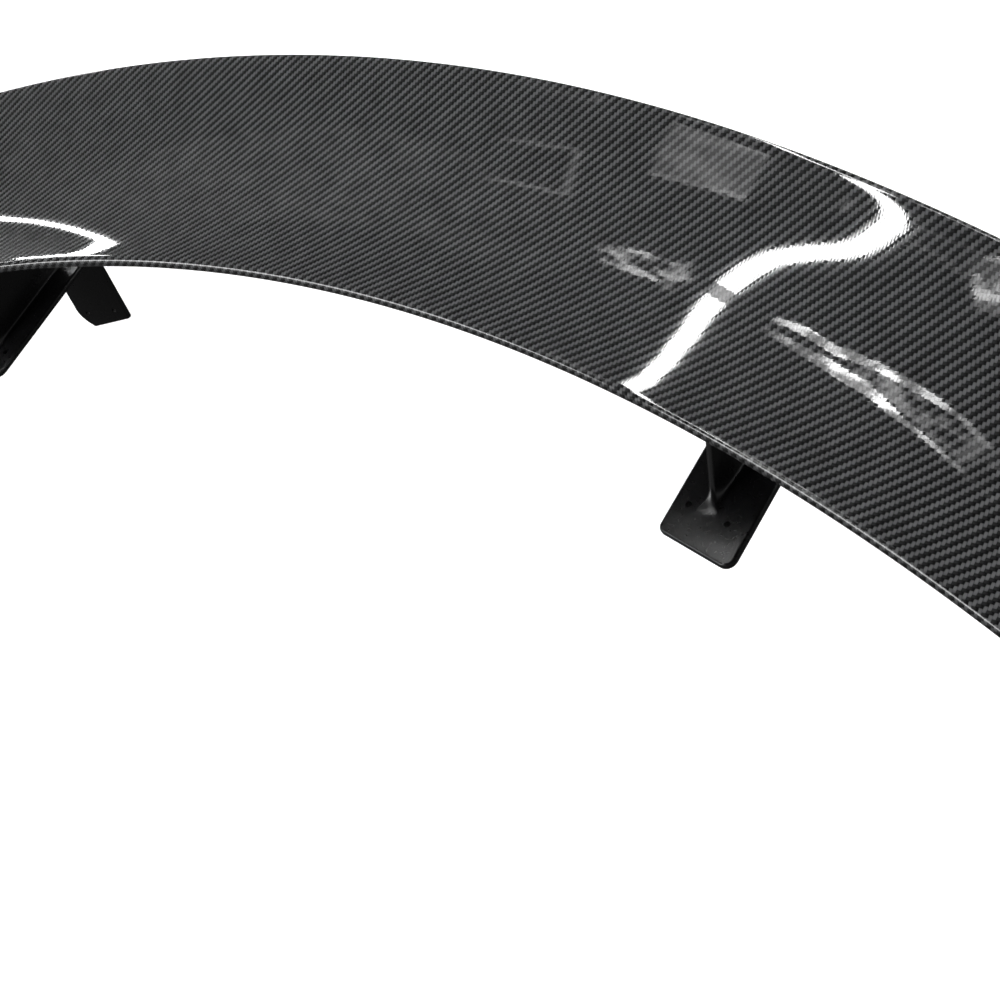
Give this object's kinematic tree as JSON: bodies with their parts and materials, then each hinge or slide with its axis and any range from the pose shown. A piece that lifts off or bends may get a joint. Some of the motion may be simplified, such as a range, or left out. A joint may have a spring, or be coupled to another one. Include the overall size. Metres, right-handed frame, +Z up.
{
  "type": "racing rear wing",
  "caption": "Bowed carbon-fibre rear wing with a hollow-topped aerofoil, standing on moulded pedestals that screw to the top and rear edge of a boot lid.",
  "frame": {"origin": "on the car's centre plane, at the height of the boot lid under the foot gaskets, directly below the middle of the leading edge", "axes": "+X across the car along the span, +Y rearward along the chord, +Z up"},
  "size_m": [1.3246, 0.3057, 0.2079],
  "materials": {
    "carbon": "2x2 twill carbon fibre under a glossy clear coat",
    "foam": "sanded structural foam",
    "laminate": "sawn plywood",
    "moulded": "satin black moulded",
    "gasket": "closed-cell sheet",
    "steel": "black oxide",
    "insert": "machined"
  },
  "bodies": {
    "root": {"upper_skin": "carbon", "lower_skin": "carbon", "right_tip_cap": "carbon", "left_tip_cap": "carbon", "centre_foam_core": "foam", "right_foam_core": "foam", "left_foam_core": "foam", "right_hardpoint_block": "laminate", "left_hardpoint_block": "laminate", "right_pedestal": "moulded", "left_pedestal": "moulded", "right_foot_gasket": "gasket", "left_foot_gasket": "gasket", "right_front_saddle_bolt": "steel", "left_front_saddle_bolt": "steel", "right_front_threaded_insert": "insert", "left_front_threaded_insert": "insert", "right_rear_saddle_bolt": "steel", "left_rear_saddle_bolt": "steel", "right_rear_threaded_insert": "insert", "left_rear_threaded_insert": "insert"}
  },
  "joints": []
}
